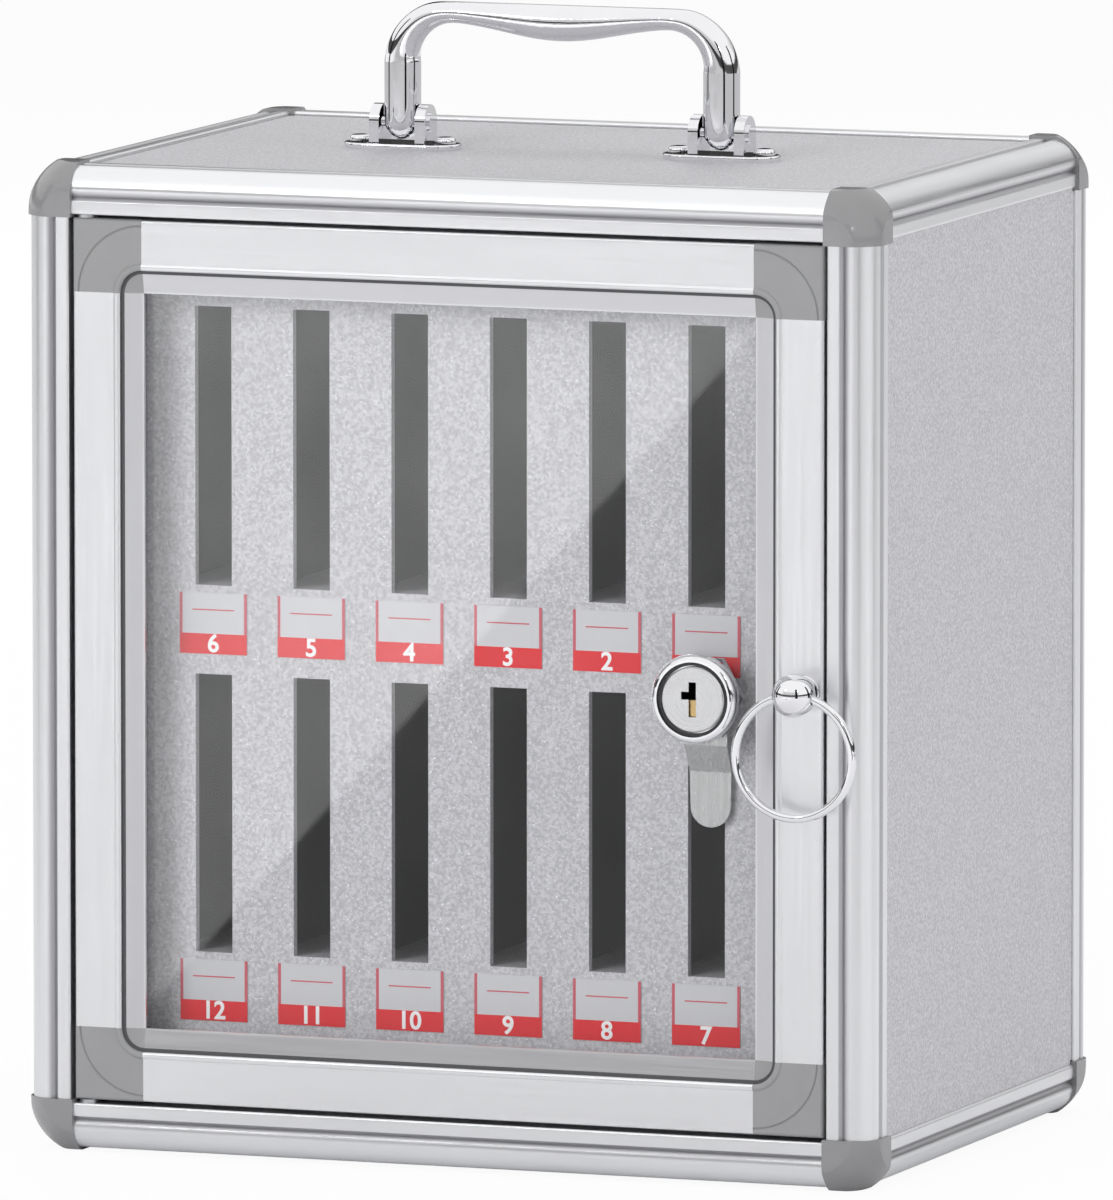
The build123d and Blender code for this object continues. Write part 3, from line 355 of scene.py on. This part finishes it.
# %% Mill finish, zinc and nickel
def rolled(name, colour, streaks, gloss):
    """Sheet metal with upright rolling streaks."""
    graph = finish(name)
    streak = graph.noise(graph.place((1.0, 1.0, 0.03)), streaks, detail=3.0)
    duller = rgb(*[0.86 * part for part in colour])
    surface(
        graph,
        base_color=graph.mix(streak, duller, rgb(*colour)),
        metallic=1.0,
        roughness=streak.ramp(0.3, 0.7, gloss, gloss + 0.12),
        normal=graph.bump(streak, 0.01 * MM),
    )


rolled("mill_aluminium", (0.76, 0.77, 0.79), 900.0, 0.38)
rolled("cam_nickel", (0.58, 0.58, 0.575), 450.0, 0.22)

graph = finish("zinc_plate")
crystal_size = {"Vector": graph.place(), "Scale": 900.0}
crystals = graph.node("ShaderNodeTexVoronoi", {}, crystal_size, "Distance")
surface(
    graph,
    base_color=graph.mix(crystals, rgb(0.66, 0.67, 0.69), rgb(0.50, 0.51, 0.53)),
    metallic=1.0,
    roughness=crystals.ramp(0.0, 0.8, 0.28, 0.42),
)
print("plain metals")

# %% [markdown]
# ## Chrome
# Chrome is a mirror, so its looks are mostly the studio around it. Fingers leave a barely visible
# haze, which is a noise on the roughness.

# %% Chrome
graph = finish("chrome")
haze = graph.noise(graph.place(), 60.0, detail=4.0)
surface(
    graph,
    base_color=graph.mix(haze, rgb(0.80, 0.80, 0.82), rgb(0.86, 0.86, 0.88)),
    metallic=1.0,
    roughness=haze.ramp(0.35, 0.75, 0.035, 0.10),
)
print("chrome")

# %% [markdown]
# ## The lock's face
# The plug is faced on a lathe, so its fine lines are circles round its axis. The distance from the
# axis, fed to a noise, gives rings that share one centre. Behind the face the key slot gets painted
# shade: the colour falls off to near black with depth, in place of the shadow inside it.

# %% Turned steel, trim and brass
plug_low, plug_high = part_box("lock_plug")
lock_centre = Vector(((plug_low.x + plug_high.x) / 2, plug_low.y, (plug_low.z + plug_high.z) / 2))

graph = finish("turned_steel")
from_axis = graph.place((1.0, 0.0, 1.0), lock_centre)
radius = graph.node("ShaderNodeVectorMath", {"operation": "LENGTH"}, {0: from_axis}, "Value")
rings = graph.node("ShaderNodeTexNoise", {"noise_dimensions": "1D"}, {"W": radius, "Scale": 5200.0})
# Painted shade: the key slot darkens to near black with depth behind the face.
depth = graph.axes(graph.place(centre=lock_centre))[1]
steel = graph.mix(rings, rgb(0.66, 0.66, 0.67), rgb(0.76, 0.76, 0.77))
surface(
    graph,
    base_color=graph.mix(depth.ramp(0.5 * MM, 1.1 * MM), steel, rgb(0.012, 0.012, 0.012)),
    metallic=1.0,
    roughness=rings.ramp(0.3, 0.7, 0.24, 0.36),
    normal=graph.bump(rings, 0.006 * MM),
)

graph = finish("black_trim")
bloom = graph.noise(graph.place(), 700.0)
surface(
    graph,
    base_color=graph.mix(bloom, rgb(0.010, 0.010, 0.011), rgb(0.020, 0.020, 0.022)),
    roughness=bloom.ramp(0.3, 0.7, 0.18, 0.28),
)

graph = finish("black_rubber")
bloom = graph.noise(graph.place(), 1200.0, detail=3.0)
surface(
    graph,
    base_color=graph.mix(bloom, rgb(0.055, 0.055, 0.058), rgb(0.085, 0.085, 0.09)),
    roughness=bloom.ramp(0.3, 0.7, 0.55, 0.72),
    normal=graph.bump(bloom, 0.03 * MM),
)

graph = finish("wafer_brass")
tarnish = graph.noise(graph.place(), 1400.0, detail=3.0)
surface(
    graph,
    base_color=graph.mix(tarnish, rgb(0.52, 0.33, 0.12), rgb(0.80, 0.62, 0.32)),
    metallic=1.0,
    roughness=tarnish.ramp(0.3, 0.7, 0.22, 0.38),
)
print("lock finishes")

# %% [markdown]
# ## The clear pane
# Acrylic 3 mm thick bends what is behind it so little that it can be left straight: the pane lets
# light through and adds a reflection that grows at low angles, as Fresnel's law says, at about half
# its full strength. That renders far faster than true refraction, and lets the lamps light what is
# inside.

# %% Clear acrylic
ACRYLIC_IOR = 1.49
graph = finish("clear_acrylic")
smudge = graph.noise(graph.place(), 25.0, detail=3.0)
clear = graph.node("ShaderNodeBsdfTransparent", {}, {"Color": rgb(0.985, 0.988, 0.99)})
shine = graph.node("ShaderNodeBsdfGlossy", {}, {"Color": rgb(1, 1, 1), "Roughness": 0.02})
mirror = graph.node("ShaderNodeFresnel", {}, {"IOR": ACRYLIC_IOR})
reflected_share = mirror * smudge.ramp(0.3, 0.7, 0.45, 0.55)
both = graph.node("ShaderNodeMixShader", {}, {0: reflected_share, 1: clear, 2: shine})
graph.node("ShaderNodeOutputMaterial", {}, {"Surface": both})
print("acrylic")


# %% [markdown]
# ## Card and ink
# The slots are numbered on small printed cards: pale card with faint fibres, and a red ink that
# lets a little of them show.

# %% Card, red ink and white ink
def printed(name, weak, full):
    """A printed or bare card: its colour wanders between two tones along the fibres."""
    graph = finish(name)
    fibres = graph.noise(graph.place((1.0, 1.0, 0.4)), 2400.0, detail=4.0)
    surface(
        graph,
        base_color=graph.mix(fibres, rgb(*weak), rgb(*full)),
        roughness=fibres.ramp(0.3, 0.7, 0.55, 0.7),
        normal=graph.bump(fibres, 0.02 * MM),
    )


printed("card", (0.54, 0.54, 0.56), (0.61, 0.61, 0.63))
printed("red_ink", (0.66, 0.012, 0.018), (0.76, 0.020, 0.028))
printed("faded_red_ink", (0.50, 0.08, 0.11), (0.60, 0.11, 0.14))
printed("white_ink", (0.84, 0.84, 0.84), (0.92, 0.92, 0.92))
print("card and inks")

# %% [markdown]
# ## Dress the solids
# Each solid keeps its own mesh and gets a material in its first slot. Most are chosen by the slot
# name of the part's own list. The aluminium bars are chosen by the way they run, and the dividers
# by their name.

# %% Give every solid its finish
FINISH_OF_SLOT = {
    "corner_plastic": "cap_plastic",
    "connector_plastic": "connector_plastic",
    "silver_board": "silver_board",
    "plain_aluminium": "mill_aluminium",
    "cleat_plastic": "cleat_plastic",
    "label_card": "card",
    "plain_steel": "zinc_plate",
    "clear_acrylic": "clear_acrylic",
    "black_rubber": "black_rubber",
    "lock_chrome": "chrome",
    "black_trim": "black_trim",
    "satin_steel": "turned_steel",
    "cam_steel": "cam_nickel",
    "pull_chrome": "chrome",
    "handle_chrome": "chrome",
    "screw_chrome": "chrome",
}
for part in frame["record"]["subparts"]:
    name, slot_name = part["node"], part["material_slot"]
    if slot_name == "edge_aluminium":
        low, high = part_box(name)
        longest = max(range(3), key=(high - low).__getitem__)
        kind = "door_bar" if name.startswith("door_") else "cabinet_bar"
        chosen = f"{kind}_along_{'xyz'[longest]}"
    # The dividers get the near-black film of painted shade.
    elif name.endswith("_dividers"):
        chosen = "painted_shade_board"
    else:
        chosen = FINISH_OF_SLOT[slot_name]
    nodes[name].data.materials.clear()
    nodes[name].data.materials.append(finishes[chosen])


# %% [markdown]
# ## Small pieces from boxes
# The print on the cards and the wafers in the lock are thin flat pieces. Each starts as bmesh's own
# cube, sized and placed by a matrix, and one mesh can hold many of them.

# %% A mesh from boxes
def add_box(mesh, low, high):
    """Add a box between two corners to a bmesh."""
    low, high = Vector(low), Vector(high)
    place = Matrix.Translation((low + high) / 2) @ Matrix.Diagonal((*(high - low), 1.0))
    bmesh.ops.create_cube(mesh, size=1.0, matrix=place)


def piece_from(mesh, name, material, body):
    """Turn a bmesh into a piece of the model that moves with a body."""
    data = bpy.data.meshes.new(name)
    mesh.to_mesh(data)
    mesh.free()
    data.materials.append(finishes[material])
    piece = bpy.data.objects.new(name, data)
    bpy.context.scene.collection.objects.link(piece)
    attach(piece, body)
    print(f"{name}: {len(data.polygons)} faces")


# %% [markdown]
# ## Numbered labels
# Every card has a red band across its foot with the slot's number in white, a thin red line up each
# side and a ruled line to write on. The ink is a few hundredths of a millimetre of real thickness,
# so that nothing flickers. The numbers count from the right, upper row first.

# %% Print the bands and lines
BAND_HEIGHT = 6.8 * MM
SIDE_LINE = 1.0 * MM
RULE_RISE = 14.6 * MM
RULE_THICK = 0.45 * MM
RULE_MARGIN = 4.5 * MM
INK = 0.04 * MM
CARD_SIZE = Vector((24.0, 0.4, 20.5)) * MM
COLUMNS = 6

cards_low, cards_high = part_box("slot_labels")
card_face = cards_low.y
card_pitch = (cards_high.x - cards_low.x - CARD_SIZE.x) / (COLUMNS - 1)
card_rows = (cards_high.z - CARD_SIZE.z, cards_low.z)
card_corners = [
    (cards_high.x - CARD_SIZE.x - column * card_pitch, row)
    for row in card_rows
    for column in range(COLUMNS)
]

bands = bmesh.new()
lines = bmesh.new()
for left, foot in card_corners:
    right, top = left + CARD_SIZE.x, foot + CARD_SIZE.z
    printed_face, band_top, rule = card_face - INK, foot + BAND_HEIGHT, foot + RULE_RISE
    add_box(bands, (left, printed_face, foot), (right, card_face, band_top))
    for side in (left, right - SIDE_LINE):
        add_box(lines, (side, printed_face, band_top), (side + SIDE_LINE, card_face, top))
    add_box(
        lines,
        (left + RULE_MARGIN, printed_face, rule),
        (right - RULE_MARGIN, card_face, rule + RULE_THICK),
    )
piece_from(bands, "label_bands", "red_ink", "cabinet")
piece_from(lines, "label_lines", "faded_red_ink", "cabinet")

# %% [markdown]
# Numbers are text objects first. A text is made a mesh while it still lies at the origin, and the
# mesh is then stood upright and moved to its card, so that the finished piece needs no transform.

# %% Print the numbers
DIGIT_SIZE = 8.4 * MM
DIGIT_BOLD = 0.2 * MM
DIGIT_DROP = 0.1 * MM
DIGIT_SMOOTHNESS = 6
WELD = 0.001 * MM
STAND_UP = Matrix.Rotation(pi / 2, 4, "X")

digits = bmesh.new()
for number, (left, foot) in enumerate(card_corners, 1):
    text = bpy.data.curves.new("number", "FONT")
    text.body = str(number)
    text.size = DIGIT_SIZE
    text.offset = DIGIT_BOLD
    text.extrude = INK
    text.resolution_u = DIGIT_SMOOTHNESS
    text.align_x = "CENTER"
    text.align_y = "CENTER"
    holder = bpy.data.objects.new("number", text)
    bpy.context.scene.collection.objects.link(holder)
    drawn = holder.evaluated_get(bpy.context.evaluated_depsgraph_get())
    flat = bpy.data.meshes.new_from_object(drawn)
    middle = Vector((
        left + CARD_SIZE.x / 2,
        card_face - 2 * INK,
        foot + BAND_HEIGHT / 2 - DIGIT_DROP,
    ))
    flat.transform(Matrix.Translation(middle) @ STAND_UP)
    digits.from_mesh(flat)
    bpy.data.objects.remove(holder)
    bpy.data.curves.remove(text)
    bpy.data.meshes.remove(flat)
bmesh.ops.remove_doubles(digits, verts=digits.verts, dist=WELD)
bmesh.ops.recalc_face_normals(digits, faces=digits.faces)
piece_from(digits, "label_numbers", "white_ink", "cabinet")

# %% [markdown]
# ## Brass in the keyway
# Looking into the key slot one sees the brass wafers that the key lifts. Three thin plates stand
# one behind the other in the lower half of the slot, each a little shorter than the one in front.

# %% Lock wafers
WAFERS = 3
WAFER_THICK = 0.5 * MM
WAFER_GAP = 0.9 * MM
WAFER_FIRST = 1.2 * MM
WAFER_HALF_WIDTH = 1.2 * MM
WAFER_TOP_DROP = 0.2
WAFER_STEP = 0.9
WAFER_EDGE = 0.1 * MM
KEYWAY_HALF_HEIGHT = 5.8 * MM

wafers = bmesh.new()
for order in range(WAFERS):
    near = plug_low.y + WAFER_FIRST + order * (WAFER_THICK + WAFER_GAP)
    top = lock_centre.z - (WAFER_TOP_DROP + WAFER_STEP * order) * MM
    add_box(
        wafers,
        (lock_centre.x - WAFER_HALF_WIDTH, near, lock_centre.z - KEYWAY_HALF_HEIGHT),
        (lock_centre.x + WAFER_HALF_WIDTH, near + WAFER_THICK, top),
    )
bmesh.ops.bevel(
    wafers,
    geom=wafers.edges[:],
    offset=WAFER_EDGE,
    segments=1,
    profile=0.5,
    affect="EDGES",
    material=-1,
)
piece_from(wafers, "lock_wafers", "wafer_brass", "plug_and_cam")

# %% [markdown]
# ## The studio
# Metal shows the room, so the room matters. The floor is pale, and the sky is white for the camera
# and nearly so for mirrors, while matt surfaces get a weaker sky and large soft lamps. The floor's
# own glow, seen only by the camera, brings it up to the white of the background and leaves a soft
# shadow. Chrome in a white room looks like white plastic, so mirrors also see a dark band just
# above the horizon.

# %% The sky
SKY_SEEN = 1.0
SKY_LIGHT = 0.62
ROOM_DIM = 0.66
ROOM_BRIGHT = 1.06
BAND_FROM = 0.04
BAND_TO = 0.20
BAND_EDGE = 0.015
BAND_DARKNESS = 0.93

world = bpy.data.worlds.new("studio")
world.use_nodes = True
bpy.context.scene.world = world
graph = Graph(world.node_tree)
seen = graph.node("ShaderNodeLightPath", output="Is Camera Ray")
through = graph.node("ShaderNodeLightPath", output="Is Transmission Ray")
mirrored = graph.node("ShaderNodeLightPath", output="Is Glossy Ray")
direct = seen.math("MAXIMUM", through)
across, _, upward = graph.axes(graph.node("ShaderNodeTexCoord", output="Generated"))
boxes_at_sides = across.math("ABSOLUTE").ramp(0.45, 0.80)
box_above = upward.ramp(0.25, 0.60)
room = boxes_at_sides.math("MAXIMUM", box_above).ramp(0.0, 1.0, ROOM_DIM, ROOM_BRIGHT)
band = upward.ramp(BAND_FROM, BAND_FROM + BAND_EDGE)
band = band * upward.ramp(BAND_TO, BAND_TO - BAND_EDGE)
room = room * (1 - band * BAND_DARKNESS)
strength = direct * SKY_SEEN + (1 - direct) * (mirrored * room + (1 - mirrored) * SKY_LIGHT)
sky = graph.node("ShaderNodeBackground", {}, {"Color": rgb(1, 1, 1), "Strength": strength})
graph.node("ShaderNodeOutputWorld", {}, {"Surface": sky})
print("sky")

# %% The floor
FLOOR_HALF = 12.0
FLOOR_GLOW = 0.93

floor_mesh = bmesh.new()
bmesh.ops.create_grid(floor_mesh, x_segments=1, y_segments=1, size=FLOOR_HALF)
floor_data = bpy.data.meshes.new("floor")
floor_mesh.to_mesh(floor_data)
floor_mesh.free()
floor = bpy.data.objects.new("floor", floor_data)
bpy.context.scene.collection.objects.link(floor)
graph = finish("studio_floor")
matt = graph.node("ShaderNodeBsdfDiffuse", {}, {"Color": rgb(0.86, 0.86, 0.87)})
glow = graph.node("ShaderNodeEmission", {}, {"Color": rgb(1, 1, 1), "Strength": 1.0})
seen = graph.node("ShaderNodeLightPath", output="Is Camera Ray")
both = graph.node("ShaderNodeMixShader", {}, {0: seen * FLOOR_GLOW, 1: matt, 2: glow})
graph.node("ShaderNodeOutputMaterial", {}, {"Surface": both})
floor_data.materials.append(finishes["studio_floor"])
print("floor")


# %% [markdown]
# ## Black flags
# A photographer stands black cards round chrome, so that its edges read. These columns are seen
# only in mirrors: they shade nothing and the camera looks through them.

# %% Flags that only mirrors see
FLAG_AZIMUTHS = (-150, -78, 36, 100)
FLAG_DISTANCE = 1.6
FLAG_WIDTH = 0.24
FLAG_HEIGHT = 1.3

flags_mesh = bmesh.new()
for azimuth in FLAG_AZIMUTHS:
    foot = Vector((sin(radians(azimuth)), -cos(radians(azimuth)), 0)) * FLAG_DISTANCE
    half = Vector((FLAG_WIDTH / 2, FLAG_WIDTH / 2, 0))
    add_box(flags_mesh, foot - half, foot + half + Vector((0, 0, FLAG_HEIGHT)))
flags_data = bpy.data.meshes.new("black_flags")
flags_mesh.to_mesh(flags_data)
flags_mesh.free()
flags = bpy.data.objects.new("black_flags", flags_data)
bpy.context.scene.collection.objects.link(flags)
flags.visible_camera = False
flags.visible_diffuse = False
flags.visible_transmission = False
flags.visible_shadow = False
graph = finish("flag_cloth")
cloth = graph.node("ShaderNodeBsdfDiffuse", {}, {"Color": rgb(0.008, 0.008, 0.008)})
graph.node("ShaderNodeOutputMaterial", {}, {"Surface": cloth})
flags_data.materials.append(finishes["flag_cloth"])
print(len(FLAG_AZIMUTHS), "flags")


# %% The lamps
def lamp(name, place, size, power, in_mirrors=False):
    """A square soft lamp facing the cabinet's middle. It lights either matt or shiny surfaces."""
    data = bpy.data.lights.new(name, "AREA")
    data.size = size
    data.energy = power
    made = bpy.data.objects.new(name, data)
    bpy.context.scene.collection.objects.link(made)
    made.location = place
    made.rotation_euler = (shell_middle - Vector(place)).to_track_quat("-Z", "Y").to_euler()
    made.visible_glossy = in_mirrors
    made.visible_diffuse = not in_mirrors


lamp("key_lamp", (-1.0, -3.0, 1.2), size=1.6, power=55.0)
lamp("side_lamp", (2.8, -0.6, 1.0), size=1.4, power=22.0)
lamp("top_lamp", (0.2, 0.2, 2.8), size=1.8, power=12.0)
lamp("rear_lamp", (-0.8, 2.8, 1.6), size=1.4, power=22.0)
lamp("left_glint", (-1.2, -2.4, 1.9), size=0.25, power=3.0, in_mirrors=True)
lamp("right_glint", (1.6, -1.8, 1.5), size=0.25, power=2.0, in_mirrors=True)
print("lamps")

# %% [markdown]
# ## The glare on the window
# In the photograph the upper left half of the window mirrors a bright card with a straight edge,
# which runs from corner to corner. A card stands here where the pane mirrors it to the camera: from
# each point of the edge on the pane, it lies along the reflected line of sight. Light linking keeps
# it on the pane, so the aluminium doesn't see it. It is set for this one view, and from farther
# round to the right it shines too brightly in the pane.

# %% The card in the window
GLARE_LOW_END = Vector((-108.0, 0.0, 51.0)) * MM
GLARE_HIGH_END = Vector((108.0, 0.0, 286.0)) * MM
GLARE_IN_FRONT = 0.28
GLARE_LENGTH = 0.46
GLARE_BREADTH = 0.24
GLARE_RADIANCE = 2.2

edge = (GLARE_HIGH_END - GLARE_LOW_END).normalized()
facing_away = Vector((0, -1, 0))
upward_left = facing_away.cross(edge)
reflected = Vector((looking.x, -looking.y, looking.z))
on_pane = (GLARE_LOW_END + GLARE_HIGH_END) / 2
on_pane.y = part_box("door_pane")[0].y
edge_centre = on_pane + reflected * (GLARE_IN_FRONT / looking.y)
card_centre = edge_centre + upward_left * (GLARE_BREADTH / 2)

card_data = bpy.data.lights.new("window_card", "AREA")
card_data.shape = "RECTANGLE"
card_data.size = GLARE_LENGTH
card_data.size_y = GLARE_BREADTH
card_data.energy = GLARE_RADIANCE * pi * GLARE_LENGTH * GLARE_BREADTH
card = bpy.data.objects.new("window_card", card_data)
bpy.context.scene.collection.objects.link(card)
turned = Matrix((edge, upward_left, facing_away)).transposed().to_4x4()
card.matrix_world = Matrix.Translation(card_centre) @ turned
card.visible_camera = False
card.visible_diffuse = False
card.visible_transmission = False
pane_only = bpy.data.collections.new("pane_only")
pane_only.objects.link(nodes["door_pane"])
card.light_linking.receiver_collection = pane_only
print("card", [round(v, 3) for v in card_centre])
